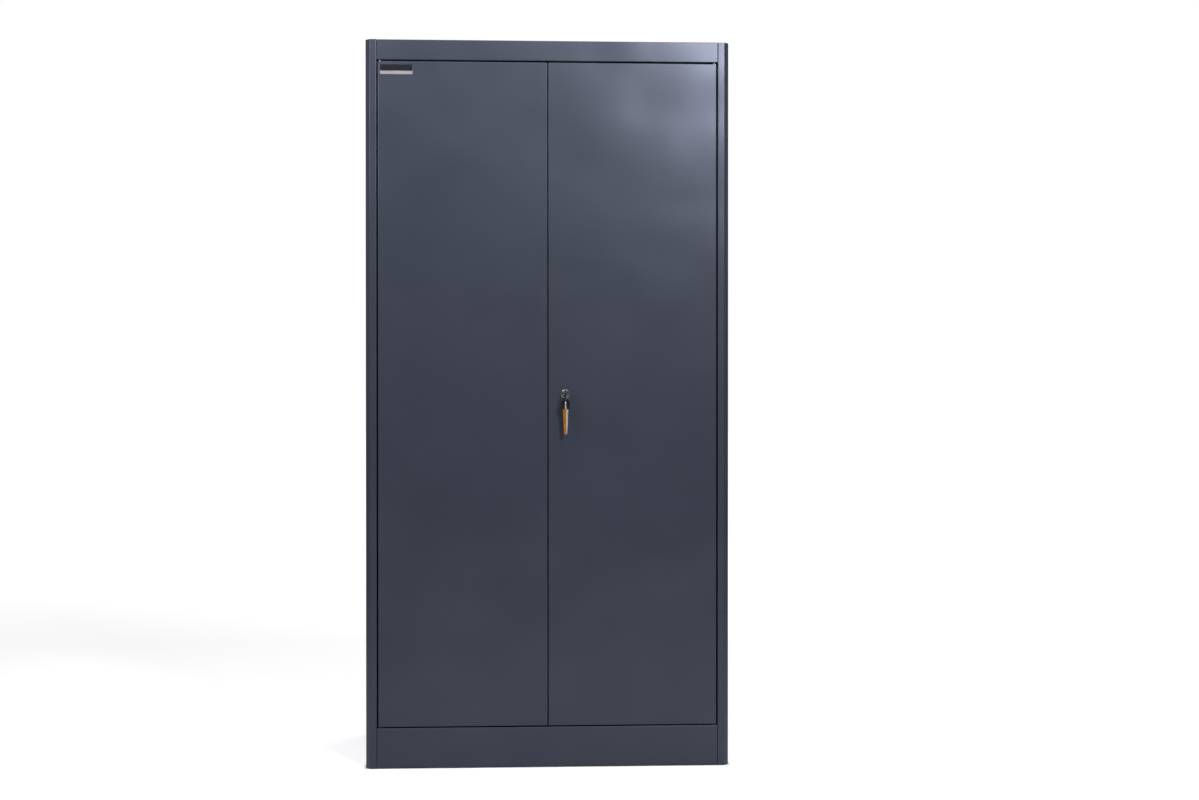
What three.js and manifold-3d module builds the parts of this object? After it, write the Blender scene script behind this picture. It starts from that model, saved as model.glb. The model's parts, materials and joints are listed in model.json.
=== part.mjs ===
// Steel stationery cupboard: a knock-down carcass of folded sheet, two pivot-hung doors with
// upper and lower locking rods, four adjustable shelves and a cam lock with its keys.
// Millimetres, +Z up, +X to the viewer's right. The doors face -Y.

import * as THREE from "three";
import { mergeVertices } from "three/addons/utils/BufferGeometryUtils.js";
import Module from "manifold-3d";

const wasm = await Module();
wasm.setup();

// Carcass, overall
const cupboardWidth = 900;
const cupboardHeight = 1800;
const cupboardDepth = 450;
const headerHeight = 50;
const plinthHeight = 100;

// Folded sheet
const sheet = 0.8;
const insideBend = 1.1;
const bendSteps = 3;
const seat = 0.3;
const overrun = 2;

// Corner posts, folded from the side panels
const postWidth = 27.5;
const postChamfer = 11;
const postReturn = 72;
const postLip = 14;
const seamGap = 0.8;
const endFlangeLip = 20;

// Slots that take the shelf clips
const slotLength = 12;
const slotHeight = 3.2;
const slotPitch = 50;
const slotInset = 9;
const firstSlot = 200;
const lastSlotBelowTop = 150;

// Rebates of header and plinth, which the doors close against
const rebateDepth = 28;
const headerStop = 15;
const plinthStep = 10;
const panelFlange = 25;
const plinthToe = 18;

// Back panel
const backReturn = 16;

// Doors
const doorDepth = 24;
const doorLip = 12;
const doorCornerRadius = 2.4;
const sideGap = 3.2;
const headGap = 3.5;
const sillGap = 3;
const meetingGap = 2;
const stiffenerWidth = 60;
const stiffenerDepth = 12;
const stiffenerFlange = 14;
const stiffenerEndGap = 30;

// Door pivots
const pivotInset = 5;
const pivotDepth = 6;
const pivotRadius = 2.2;
const pivotHeadRadius = 3.3;
const pivotHeadHeight = 3;
const pivotEngagement = 8;
const bushNeckRadius = 3.3;
const bushFlangeRadius = 4.6;
const bushNeckLength = 4;
const headBushFlange = 1.2;

// Door buffers
const bufferRadius = 4;
const bufferOffset = 70;

// Shelves and their clips
const shelfShares = [0.18, 0.39, 0.6, 0.82];
const shelfHeight = 25;
const shelfLip = 9;
const shelfFrontGap = 20;
const shelfRearGap = 20;
const shelfEndGap = 2.5;
const shelfCornerRadius = 3;
const clipThickness = 1.2;
const clipBend = 0.6;
const clipHook = 7;
const clipDrop = 14;
const clipLedge = 13;
const clipTip = 3;
const clipWidth = 11;

// Floor glides
const glidePad = 1.5;
const glideRadius = 10;
const glideStemRadius = 3;
const glideStem = 9;
const glideInset = 16;

// Cam lock
const lockFromMeeting = 42;
const lockHeight = 926;
const flangeRadius = 11;
const flangeThickness = 2.2;
const flangeRound = 1.2;
const bodyRadius = 8.5;
const bodyLength = 16.5;
const nutAcross = 24;
const nutThickness = 4;
const plugRadius = 6;
const keywayWidth = 2.8;
const keywayHeight = 8.4;
const keywayDepth = 19;
const driveSquare = 6;
const camStandOff = 1;
const camThickness = 2;
const camHubRadius = 15;
const camTongueWidth = 14;
const camTongueReach = 10;
const camTurn = Math.PI / 2;
const crankRadius = 12;
const crankPinRadius = 2;
const camScrewRadius = 5.2;
const camScrewHead = 2.6;
const camScrewShank = 1.4;
const camScrewDepth = 5;

// Locking rods and their guides
const rodRadius = 3;
const rodDepth = 18.5;
const rodPlate = 2.5;
const rodPlateWall = 2.6;
const rodRest = 1;
const rodSlotPlay = 0.6;
const rodBridge = 9;
const rodHoleRadius = 3.6;
const rodKeeperRadius = 4.2;
const guideWidth = 20;
const guideFoot = 16;
const guideThickness = 1.5;
const guideShares = [0.29, 0.78];

// Keys and split ring
const bladeThickness = 2.2;
const bladeHeight = 7.6;
const bladeInserted = 16;
const bowRadius = 10.5;
const bowNeck = 6;
const bowHoleRadius = 3.5;
const bowHoleFromTip = 8;
const ringRadius = 9.9;
const ringWire = 1.1;
const ringPitch = 1.5;
const ringTurns = 1.95;
const eyeThickness = 2.5;
const eyeWall = 1.2;
const eyeHoleRadius = 2.6;
const tangWidth = 5;
const spareBladeTop = 13.6;
const spareBladeTip = 8.4;
const spareBladeLength = 63;
const spareTipChamfer = 2.6;
const bladeEdge = 0.7;
const grooveWidth = 1.2;
const grooveDepth = 0.6;
const coverWidth = 21;
const coverHeight = 23;
const coverBelowCentre = 2.5;
const coverCheek = 1.4;
const coverRingGap = 0.6;
const coverShoulder = 8;
const coverCorner = 3;

// Planes worked out from the driving dimensions. Y = 0 is the front face of the cupboard.
const halfWidth = cupboardWidth / 2;
const innerFace = halfWidth - postWidth;
const rear = cupboardDepth;
const outsideBend = insideBend + sheet;
const foot = glidePad;
const lastSlot = cupboardHeight - lastSlotBelowTop;
const headerUnder = cupboardHeight - headerHeight;
const doorTop = headerUnder - headGap;
const doorBottom = plinthHeight + sillGap;
const doorInner = meetingGap / 2;
const doorOuter = innerFace - sideGap;
const doorWidth = doorOuter - doorInner;
const doorCentre = (doorOuter + doorInner) / 2;
const pivotX = doorOuter - pivotInset;
const panelHalf = innerFace - seat;
const frontHalf = innerFace - seamGap;
const panelRear = rear - sheet - seat;
const shelfFront = rebateDepth + shelfFrontGap;
const shelfRear = rear - shelfRearGap;
const floorTop = plinthHeight + plinthStep;
const lockX = doorInner + lockFromMeeting;
const bowTip = flangeThickness + 2 * seat + bowNeck + 2 * bowRadius;

// Finishes
function finish(color, roughness, metalness) {
  return new THREE.MeshStandardMaterial({ color, roughness, metalness });
}

const powderCoat = finish(0x454954, 0.5, 0.1);
const zinc = finish(0xb9bcc0, 0.35, 0.9);
const chrome = finish(0xd5d6d8, 0.15, 1);
const brass = finish(0xb98a3e, 0.3, 1);
const blackPlastic = finish(0x151515, 0.4, 0);
const rubber = finish(0x26262a, 0.8, 0);

// The cupboard stands with its origin on the floor, in the middle of its outer box.
const cupboard = new THREE.Group();
const assembly = new THREE.Group();
assembly.position.y = -(cupboardDepth - bowTip) / 2;
cupboard.add(assembly);

function add(name, geometry, material) {
  const mesh = new THREE.Mesh(geometry, material);
  mesh.name = name;
  assembly.add(mesh);
  return mesh;
}

// Solids: a closed geometry becomes a solid, and back
function solidOf(geometry) {
  const bare = geometry.index ? geometry.toNonIndexed() : geometry.clone();
  bare.deleteAttribute("normal");
  bare.deleteAttribute("uv");
  const merged = mergeVertices(bare);
  const triVerts = withoutSlivers(merged.index.array);
  const vertProperties = merged.attributes.position.array;
  if (signedVolume(vertProperties, triVerts) < 0) {
    triVerts.reverse();
  }
  return new wasm.Manifold(new wasm.Mesh({ numProp: 3, vertProperties, triVerts }));
}

function withoutSlivers(index) {
  const kept = [];
  for (let i = 0; i < index.length; i += 3) {
    const [a, b, c] = [index[i], index[i + 1], index[i + 2]];
    if (a !== b && b !== c && c !== a) {
      kept.push(a, b, c);
    }
  }
  return new Uint32Array(kept);
}

function signedVolume(positions, index) {
  const [a, b, c] = [new THREE.Vector3(), new THREE.Vector3(), new THREE.Vector3()];
  let sum = 0;
  for (let i = 0; i < index.length; i += 3) {
    a.fromArray(positions, 3 * index[i]);
    b.fromArray(positions, 3 * index[i + 1]);
    c.fromArray(positions, 3 * index[i + 2]);
    sum += a.dot(b.cross(c));
  }
  return sum / 6;
}

function geometryOf(solid) {
  const mesh = solid.getMesh();
  const geometry = new THREE.BufferGeometry();
  geometry.setAttribute("position", new THREE.BufferAttribute(new Float32Array(mesh.vertProperties), 3));
  geometry.setIndex(new THREE.BufferAttribute(new Uint32Array(mesh.triVerts), 1));
  geometry.computeVertexNormals();
  return geometry;
}

function joined(...pieces) {
  return geometryOf(pieces.map(solidOf).reduce((sum, piece) => sum.add(piece)));
}

function cut(body, ...tools) {
  return geometryOf(tools.map(solidOf).reduce((rest, tool) => rest.subtract(tool), solidOf(body)));
}

// Extrusions along each axis. A shape for X is drawn in (y, z), for Y in (x, z), for Z in (x, y).
function extrude(shape, from, to, axis) {
  const options = { depth: to - from, bevelEnabled: false, curveSegments: 10 };
  const geometry = new THREE.ExtrudeGeometry(shape, options);
  const [x, y, z] = [new THREE.Vector3(1, 0, 0), new THREE.Vector3(0, 1, 0), new THREE.Vector3(0, 0, 1)];
  if (axis === "x") {
    geometry.applyMatrix4(new THREE.Matrix4().makeBasis(y, z, x)).translate(from, 0, 0);
  } else if (axis === "y") {
    geometry.applyMatrix4(new THREE.Matrix4().makeBasis(x, z, y.clone().negate())).translate(0, to, 0);
  } else {
    geometry.translate(0, 0, from);
  }
  return geometry;
}

function block(x0, x1, y0, y1, z0, z1) {
  const box = new THREE.BoxGeometry(x1 - x0, y1 - y0, z1 - z0);
  return box.translate((x0 + x1) / 2, (y0 + y1) / 2, (z0 + z1) / 2);
}

function rod(radius, from, to, axis, sides = 16) {
  const geometry = new THREE.CylinderGeometry(radius, radius, to - from, sides);
  geometry.translate(0, (from + to) / 2, 0);
  if (axis === "z") {
    geometry.rotateX(Math.PI / 2);
  }
  return geometry;
}

// A turned piece: profile points are [radius, place along the axis]
function turned(profile, axis, sides = 16) {
  const geometry = new THREE.LatheGeometry(profile.map(([r, h]) => new THREE.Vector2(r, h)), sides);
  if (axis === "z") {
    geometry.rotateX(Math.PI / 2);
  }
  return geometryOf(solidOf(geometry));
}

// Folded sheet: a datum line on the outside face, the sheet to its left (+1) or right (-1)
function offsetPath(points, distance) {
  return points.map((point, i) => {
    const before = points[Math.max(i - 1, 0)];
    const after = points[Math.min(i + 1, points.length - 1)];
    const first = i === 0;
    const last = i === points.length - 1;
    const arrive = new THREE.Vector2().subVectors(first ? after : point, first ? point : before);
    const leave = new THREE.Vector2().subVectors(last ? point : after, last ? before : point);
    arrive.normalize();
    leave.normalize();
    const left = new THREE.Vector2(-arrive.y - leave.y, arrive.x + leave.x).normalize();
    const reach = distance / left.dot(new THREE.Vector2(-arrive.y, arrive.x));
    return new THREE.Vector2(point.x + left.x * reach, point.y + left.y * reach);
  });
}

function roundedPath(points, radius, steps) {
  const path = [points[0]];
  for (let i = 1; i < points.length - 1; i += 1) {
    const back = new THREE.Vector2().subVectors(points[i - 1], points[i]).normalize();
    const on = new THREE.Vector2().subVectors(points[i + 1], points[i]).normalize();
    const half = Math.acos(THREE.MathUtils.clamp(back.dot(on), -1, 1)) / 2;
    const setBack = radius / Math.tan(half);
    const middle = new THREE.Vector2().addVectors(back, on).normalize();
    const centre = points[i].clone().addScaledVector(middle, radius / Math.sin(half));
    const start = points[i].clone().addScaledVector(back, setBack).sub(centre);
    const end = points[i].clone().addScaledVector(on, setBack).sub(centre);
    const sweep = Math.atan2(start.x * end.y - start.y * end.x, start.dot(end));
    for (let k = 0; k <= steps; k += 1) {
      path.push(start.clone().rotateAround(new THREE.Vector2(), (sweep * k) / steps).add(centre));
    }
  }
  path.push(points[points.length - 1]);
  return path;
}

function foldedSheet(datum, side, thickness = sheet, bend = insideBend, steps = bendSteps) {
  const points = datum.map(([u, v]) => new THREE.Vector2(u, v));
  const middle = roundedPath(offsetPath(points, (side * thickness) / 2), bend + thickness / 2, steps);
  const outline = [...offsetPath(middle, thickness / 2), ...offsetPath(middle, -thickness / 2).reverse()];
  return new THREE.Shape(outline);
}

// Rounded rectangle about the origin
function roundedRectangle(width, height, radius, steps = 3) {
  const points = [];
  const [x, y] = [width / 2 - radius, height / 2 - radius];
  for (const [cx, cy, quarter] of [[x, y, 0], [-x, y, 1], [-x, -y, 2], [x, -y, 3]]) {
    for (let k = 0; k <= steps; k += 1) {
      const angle = ((quarter + k / steps) * Math.PI) / 2;
      points.push(new THREE.Vector2(cx + radius * Math.cos(angle), cy + radius * Math.sin(angle)));
    }
  }
  return points;
}

// A pressed block whose face at z = 0 has bent edges
function pressedBlock(width, height, depth, corner, bend) {
  const rings = [];
  for (let k = 0; k <= bendSteps; k += 1) {
    const angle = (k / bendSteps) * (Math.PI / 2);
    const inset = bend * (1 - Math.sin(angle));
    rings.push([inset, bend * (1 - Math.cos(angle))]);
  }
  rings.push([0, depth]);
  const outlines = rings.map(([inset, z]) =>
    roundedRectangle(width - 2 * inset, height - 2 * inset, corner - inset).map((p) => [p.x, p.y, z]),
  );
  return lofted(outlines);
}

function lofted(outlines) {
  const count = outlines[0].length;
  const positions = outlines.flat(2);
  const index = [];
  for (let ring = 0; ring < outlines.length - 1; ring += 1) {
    for (let i = 0; i < count; i += 1) {
      const [a, b] = [ring * count + i, ring * count + ((i + 1) % count)];
      index.push(a, b, b + count, a, b + count, a + count);
    }
  }
  const last = (outlines.length - 1) * count;
  for (let i = 1; i < count - 1; i += 1) {
    index.push(0, i + 1, i, last, last + i, last + i + 1);
  }
  const geometry = new THREE.BufferGeometry();
  geometry.setAttribute("position", new THREE.Float32BufferAttribute(positions, 3));
  geometry.setIndex(index);
  return geometry;
}

// A folded pan: closed face at z = 0, four returns and an inward lip at z = depth
function pan(width, height, depth, corner, lip) {
  const outer = pressedBlock(width, height, depth, corner, outsideBend);
  const inner = pressedBlock(
    width - 2 * sheet,
    height - 2 * sheet,
    depth - sheet + overrun,
    corner - sheet,
    insideBend,
  ).translate(0, 0, sheet);
  const rim = new THREE.Shape(roundedRectangle(width, height, corner));
  rim.holes.push(new THREE.Path(roundedRectangle(width - 2 * lip, height - 2 * lip, insideBend).reverse()));
  return joined(cut(outer, inner), extrude(rim, depth - sheet, depth, "z"));
}

// Side panels: one folded sheet each, with a chamfered front post, a rear post and end flanges
function slotHeights() {
  const count = Math.floor((lastSlot - firstSlot) / slotPitch) + 1;
  return Array.from({ length: count }, (_, i) => firstSlot + i * slotPitch);
}

const slotPlaces = [postReturn - slotInset, rear - postReturn + slotInset];

function sidePanel(side) {
  const wall = halfWidth;
  const datum = [
    [-innerFace - postLip, rear - postReturn],
    [-innerFace, rear - postReturn],
    [-innerFace, rear],
    [-wall, rear],
    [-wall, postChamfer],
    [-wall + postChamfer, 0],
    [-innerFace, 0],
    [-innerFace, postReturn],
    [-innerFace - postLip, postReturn],
  ];
  const wrap = extrude(foldedSheet(datum, 1), foot, cupboardHeight, "z");
  const corners = datum.slice(2, 7).map(([x, y]) => new THREE.Vector2(x, y));
  const flange = new THREE.Shape(roundedPath(corners, outsideBend, bendSteps));
  const topFlange = extrude(flange, cupboardHeight - sheet, cupboardHeight, "z");
  const footFlange = extrude(flange, foot, foot + sheet, "z");
  const lips = [
    [cupboardHeight - endFlangeLip, cupboardHeight],
    [foot, foot + endFlangeLip],
  ].map(([z0, z1]) =>
    block(-innerFace - sheet, -innerFace, postReturn - overrun, rear - postReturn + overrun, z0, z1),
  );
  const slots = slotPlaces.flatMap((y) =>
    slotHeights().map((z) =>
      block(
        -innerFace - sheet - overrun,
        -innerFace + overrun,
        y - slotLength / 2,
        y + slotLength / 2,
        z - slotHeight / 2,
        z + slotHeight / 2,
      ),
    ),
  );
  const stemHoles = glidePlaces.map(([x, y]) =>
    rod(glideStemRadius + seat, foot - overrun, foot + sheet + overrun, "z").translate(-x, y, 0),
  );
  const panel = cut(joined(wrap, topFlange, footFlange, ...lips), ...slots, ...stemHoles);
  return side < 0 ? panel : mirrored(panel);
}

// Mirror left to right, with the faces turned back out
function mirrored(geometry) {
  return geometryOf(solidOf(geometry.clone().scale(-1, 1, 1)));
}

const glidePlaces = [
  [halfWidth - glideInset, glideInset],
  [halfWidth - glideInset, rear - glideInset],
];

// Back panel: a shallow tray between the rear posts
function backPanel() {
  const datum = [
    [-panelHalf, rear - backReturn],
    [-panelHalf, rear],
    [panelHalf, rear],
    [panelHalf, rear - backReturn],
  ];
  return extrude(foldedSheet(datum, -1), foot, cupboardHeight, "z");
}

// A hole through a horizontal sheet
function drilled(radius, x, y, z) {
  return rod(radius, z - sheet - overrun, z + sheet + overrun, "z").translate(x, y, 0);
}

function pivotAndRodHoles(z) {
  const bushHole = bushNeckRadius + seat;
  return [
    drilled(bushHole, -pivotX, pivotDepth, z),
    drilled(bushHole, pivotX, pivotDepth, z),
    drilled(rodKeeperRadius, lockX, rodDepth, z),
  ];
}

// Down-turned edges that bolt to the side panels' flanges
function sideEdges(z0, z1) {
  return [-1, 1].map((side) => {
    const [a, b] = [side * panelHalf, side * (panelHalf - sheet)].sort((p, q) => p - q);
    return block(a, b, postReturn + seat, rear - postReturn - seat, z0, z1);
  });
}

// Corner notches that clear the back panel's returns
function rearNotches(z0, z1) {
  const inner = panelHalf - outsideBend - seat;
  const front = rear - backReturn - seat;
  return [-1, 1].map((side) => {
    const [a, b] = [side * inner, side * (panelHalf + overrun)].sort((p, q) => p - q);
    return block(a, b, front, rear + overrun, z0 - overrun, z1 + overrun);
  });
}

// Top panel with the header and its rebate folded in one
function topPanel() {
  const datum = [
    [panelRear, cupboardHeight - panelFlange],
    [panelRear, cupboardHeight],
    [0, cupboardHeight],
    [0, headerUnder],
    [rebateDepth, headerUnder],
    [rebateDepth, headerUnder - headerStop],
  ];
  const fold = extrude(foldedSheet(datum, 1), -frontHalf, frontHalf, "x");
  const low = cupboardHeight - panelFlange;
  const edges = sideEdges(low, cupboardHeight - sheet / 2);
  return cut(joined(fold, ...edges), ...rearNotches(low, cupboardHeight), ...pivotAndRodHoles(headerUnder));
}

// Bottom panel with the plinth and its step folded in one
function bottomPanel() {
  const datum = [
    [plinthToe, foot],
    [0, foot],
    [0, plinthHeight],
    [rebateDepth, plinthHeight],
    [rebateDepth, floorTop],
    [panelRear, floorTop],
    [panelRear, floorTop - panelFlange],
  ];
  const fold = extrude(foldedSheet(datum, -1), -frontHalf, frontHalf, "x");
  const low = floorTop - panelFlange;
  const edges = sideEdges(low, floorTop - sheet / 2);
  return cut(joined(fold, ...edges), ...rearNotches(low, floorTop), ...pivotAndRodHoles(plinthHeight));
}

// Shelves: a folded tray, open below
function shelf(top) {
  const width = 2 * (innerFace - shelfEndGap);
  const depth = shelfRear - shelfFront;
  const facing = new THREE.Matrix4().makeBasis(
    new THREE.Vector3(1, 0, 0),
    new THREE.Vector3(0, -1, 0),
    new THREE.Vector3(0, 0, -1),
  );
  const tray = pan(width, depth, shelfHeight, shelfCornerRadius, shelfLip);
  tray.applyMatrix4(facing).translate(0, (shelfFront + shelfRear) / 2, top);
  return tray;
}

// Shelf clip: a bent strip hooked through a slot, with a ledge under the shelf
function clip(side, y, slotZ) {
  const behind = -innerFace - sheet - seat - clipThickness;
  const front = -innerFace + seat;
  const top = slotZ + clipThickness / 2;
  const ledge = top - clipDrop;
  const datum = [
    [behind, top - clipHook],
    [behind, top],
    [front + clipThickness, top],
    [front + clipThickness, ledge],
    [front + clipLedge, ledge],
    [front + clipLedge, ledge + clipTip],
  ];
  const shape = foldedSheet(datum, -1, clipThickness, clipBend, 1);
  const strip = extrude(shape, y - clipWidth / 2, y + clipWidth / 2, "y");
  return side < 0 ? strip : mirrored(strip);
}

// The ledge of a clip sits this far below the middle of its slot
const ledgeBelowSlot = clipDrop - clipThickness / 2;

function slotForShelf(top) {
  return top - shelfHeight - seat + ledgeBelowSlot;
}

// Floor glide: a pad under the post with a stem through the foot flange
function glide(x, y) {
  const round = glidePad / 3;
  const profile = [
    [0, 0],
    [glideRadius - round, 0],
    [glideRadius, round],
    [glideRadius, foot - seat],
    [glideStemRadius, foot - seat],
    [glideStemRadius, glideStem - round],
    [glideStemRadius - round, glideStem],
    [0, glideStem],
  ];
  return turned(profile, "z").translate(x, y, 0);
}

// Flanged plastic bush: its flange fills the gap, its neck sits in the sheet
function bush(flange, direction) {
  const profile = [
    [pivotRadius + seat, -flange],
    [bushFlangeRadius, -flange],
    [bushFlangeRadius, 0],
    [bushNeckRadius, 0],
    [bushNeckRadius, bushNeckLength],
    [pivotRadius + seat, bushNeckLength],
    [pivotRadius + seat, -flange],
  ].map(([r, h]) => [r, h * direction]);
  return turned(profile, "z");
}

// Pivot pin: headed inside the door, its shank runs through the return into the bush
function pivotPin(length, direction) {
  const tip = pivotRadius / 3;
  const profile = [
    [0, -pivotHeadHeight],
    [pivotHeadRadius, -pivotHeadHeight],
    [pivotHeadRadius, 0],
    [pivotRadius, 0],
    [pivotRadius, length - tip],
    [pivotRadius - tip, length],
    [0, length],
  ].map(([r, h]) => [r, h * direction]);
  return turned(profile, "z");
}

// Doors: a folded pan, standing, with its lip to the rear
function doorPan(side) {
  const standing = new THREE.Matrix4().makeBasis(
    new THREE.Vector3(1, 0, 0),
    new THREE.Vector3(0, 0, -1),
    new THREE.Vector3(0, 1, 0),
  );
  const body = pan(doorWidth, doorTop - doorBottom, doorDepth, doorCornerRadius, doorLip);
  body.applyMatrix4(standing).translate(side * doorCentre, 0, (doorTop + doorBottom) / 2);
  const holes = [doorTop, doorBottom].map((z) => drilled(pivotRadius + seat, side * pivotX, pivotDepth, z));
  if (side > 0) {
    holes.push(drilled(rodHoleRadius, lockX, rodDepth, doorTop));
    holes.push(drilled(rodHoleRadius, lockX, rodDepth, doorBottom));
    holes.push(rod(bodyRadius + seat, -overrun, sheet + overrun, "y", 24).translate(lockX, 0, lockHeight));
  }
  return cut(body, ...holes);
}

// Hat section spot-welded to the inside of a door
function stiffener(side) {
  const face = sheet + seat;
  const crown = face + stiffenerDepth;
  const half = stiffenerWidth / 2;
  const foldIn = stiffenerDepth / 3;
  const datum = [
    [-half, face],
    [-half + stiffenerFlange, face],
    [-half + stiffenerFlange + foldIn, crown],
    [half - stiffenerFlange - foldIn, crown],
    [half - stiffenerFlange, face],
    [half, face],
  ];
  const hat = extrude(foldedSheet(datum, 1), doorBottom + stiffenerEndGap, doorTop - stiffenerEndGap, "z");
  return hat.translate(side * doorCentre, 0, 0);
}

// Rubber buffer between a door's lip and the rebate
function buffer(x, z) {
  const [front, back] = [doorDepth + seat, rebateDepth - seat];
  const round = (back - front) / 4;
  const profile = [
    [0, front],
    [bufferRadius - round, front],
    [bufferRadius, front + round],
    [bufferRadius, back],
    [0, back],
  ];
  return turned(profile, "y", 16).translate(x, 0, z);
}

// Cam lock
function lockHousing() {
  const bore = plugRadius + seat;
  const face = -seat - flangeThickness;
  const profile = [
    [bore, face],
    [flangeRadius - flangeRound, face],
    [flangeRadius, face + flangeRound],
    [flangeRadius, -seat],
    [bodyRadius, -seat],
    [bodyRadius, bodyLength],
    [bore, bodyLength],
    [bore, face],
  ];
  return turned(profile, "y", 24);
}

function lockNut() {
  const corner = nutAcross / Math.sqrt(3);
  const middle = new THREE.Vector2();
  const hexagon = new THREE.Shape(
    Array.from({ length: 6 }, (_, i) => new THREE.Vector2(corner, 0).rotateAround(middle, (i * Math.PI) / 3)),
  );
  hexagon.holes.push(new THREE.Path().absarc(0, 0, bodyRadius + seat, 0, 2 * Math.PI, true));
  const start = sheet + seat;
  return extrude(hexagon, start, start + nutThickness, "y");
}

const plugFace = -2 * seat - flangeThickness;
const camFront = doorDepth + camStandOff;
const camBack = camFront + camThickness;
const plugShoulder = bodyLength + seat;

function lockPlug() {
  const barrel = rod(plugRadius, plugFace, plugShoulder, "y", 20);
  const half = driveSquare / 2;
  const drive = block(-half, half, plugShoulder - overrun, camBack + seat, -half, half);
  const keyway = block(
    -keywayWidth / 2,
    keywayWidth / 2,
    plugFace - overrun,
    plugFace + keywayDepth,
    -keywayHeight / 2,
    keywayHeight / 2,
  );
  const tapped = rod(camScrewShank + seat, camBack - camScrewDepth, camBack + overrun, "y", 12);
  return cut(joined(barrel, drive), keyway, tapped);
}

// The crank pins stand at rest a half turn apart, each 45 degrees before level
const crankRest = -camTurn / 2;
const crankPlaces = [crankRest, crankRest + Math.PI].map((angle) => [
  crankRadius * Math.cos(angle),
  crankRadius * Math.sin(angle),
]);

function lockCam() {
  const reach = lockFromMeeting + meetingGap + camTongueReach;
  const half = camTongueWidth / 2;
  const tip = half / 2;
  const tongue = new THREE.Shape(
    [
      [-half, 0],
      [half, 0],
      [half, reach - tip],
      [half - tip, reach],
      [-half + tip, reach],
      [-half, reach - tip],
    ].map(([x, z]) => new THREE.Vector2(x, z)),
  );
  const hub = rod(camHubRadius, camFront, camBack, "y", 24);
  const pinEnd = rodDepth - rodPlate / 2 - seat;
  const pins = crankPlaces.map(([x, z]) =>
    rod(crankPinRadius, pinEnd, camFront + camThickness / 2, "y", 12).translate(x, 0, z),
  );
  const square = driveSquare / 2 + seat;
  const bore = block(-square, square, camFront - overrun, camBack + overrun, -square, square);
  return cut(joined(hub, extrude(tongue, camFront, camBack, "y"), ...pins), bore);
}

function camScrew() {
  const start = camBack + 2 * seat;
  const profile = [
    [0, camBack - camScrewDepth + seat],
    [camScrewShank, camBack - camScrewDepth + seat],
    [camScrewShank, start],
    [camScrewRadius, start],
    [camScrewRadius, start + camScrewHead / 2],
    [camScrewRadius / 2, start + camScrewHead],
    [0, start + camScrewHead],
  ];
  return turned(profile, "y", 16);
}

// Locking rod: a round bar with a slotted plate that a crank pin drives, in the lock's own place.
// up is +1 for the upper rod and -1 for the lower one, which is the same rod turned half round.
function lockingRod(up, end) {
  const [crankX, crankZ] = crankPlaces[0];
  const slotHalf = crankPinRadius + rodSlotPlay;
  const inner = crankX - slotHalf;
  const outer = crankRadius + slotHalf;
  const low = crankZ - slotHalf - rodPlateWall;
  const high = -crankZ + rodBridge;
  const plate = new THREE.Shape(
    [
      [inner - rodPlateWall / 2, low],
      [outer + rodPlateWall, low],
      [outer + rodPlateWall, high - rodPlateWall],
      [outer, high],
      [-rodRadius, high],
      [-rodRadius, high - rodBridge],
      [inner - rodPlateWall / 2, high - rodBridge],
    ].map(([x, z]) => new THREE.Vector2(x, z)),
  );
  const slot = new THREE.Path(
    [
      [inner, crankZ - slotHalf],
      [inner, crankZ + slotHalf],
      [outer, crankZ + slotHalf],
      [outer, crankZ - slotHalf],
    ].map(([x, z]) => new THREE.Vector2(x, z)),
  );
  plate.holes.push(slot);
  const [front, back] = [rodDepth - rodPlate / 2, rodDepth + rodPlate / 2];
  const flat = extrude(plate, front, back, "y");
  const length = up > 0 ? end - lockHeight : lockHeight - end;
  const bar = rod(rodRadius, high - rodBridge / 2, length, "z", 12).translate(0, rodDepth, 0);
  const whole = joined(flat, bar);
  if (up < 0) {
    whole.rotateY(Math.PI);
  }
  return whole.translate(lockX, 0, lockHeight);
}

// Rod guide: an angle on the inside of the door with a hole for the bar
function rodGuide(z) {
  const face = sheet + seat;
  const reach = rodDepth + rodRadius + guideThickness;
  const datum = [
    [face, z - guideFoot],
    [face, z],
    [reach, z],
  ];
  const angle = extrude(foldedSheet(datum, -1, guideThickness), -guideWidth / 2, guideWidth / 2, "x");
  const hole = rod(rodRadius + seat, z - guideThickness - overrun, z + overrun, "z");
  return cut(angle, hole.translate(0, rodDepth, 0)).translate(lockX, 0, 0);
}

// Key in the lock: a flat blade and a round bow, standing on edge
const bowCentre = bowRadius - bowTip;
const bowHoleY = bowHoleFromTip - bowTip;

function key() {
  const half = bladeHeight / 2;
  const blade = new THREE.Shape(
    [
      [bowCentre, -half],
      [plugFace + bladeInserted - half, -half],
      [plugFace + bladeInserted, 0],
      [plugFace + bladeInserted - half, half],
      [bowCentre, half],
    ].map(([y, z]) => new THREE.Vector2(y, z)),
  );
  const bow = new THREE.Shape().absarc(bowCentre, 0, bowRadius, 0, 2 * Math.PI, false);
  const hole = new THREE.Shape().absarc(bowHoleY, 0, bowHoleRadius, 0, 2 * Math.PI, false);
  const [a, b] = [-bladeThickness / 2, bladeThickness / 2];
  const flat = joined(extrude(blade, a, b, "x"), extrude(bow, a, b, "x"));
  return cut(flat, extrude(hole, a - overrun, b + overrun, "x")).translate(lockX, 0, lockHeight);
}

// Split ring: a flat coil of nearly two turns, in one length of wire
class Coil extends THREE.Curve {
  getPoint(t, target = new THREE.Vector3()) {
    const angle = t * ringTurns * 2 * Math.PI;
    const along = (t - 1 / 2) * ringTurns * ringPitch;
    return target.set(ringRadius * Math.cos(angle), along, ringRadius * Math.sin(angle));
  }
}

// The ring's wires swing inside the bow's hole, and the eye hangs on the lower ones
const coilReach = (ringTurns / 2 - 1 / 4) * ringPitch;
const ringDrop = bowHoleRadius - ringWire / 2 - coilReach - seat;
const eyeDrop = eyeHoleRadius - ringWire / 2 - 3 * seat;
const ringTop = lockHeight - ringDrop;
const ringCentre = ringTop - ringRadius;

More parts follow.
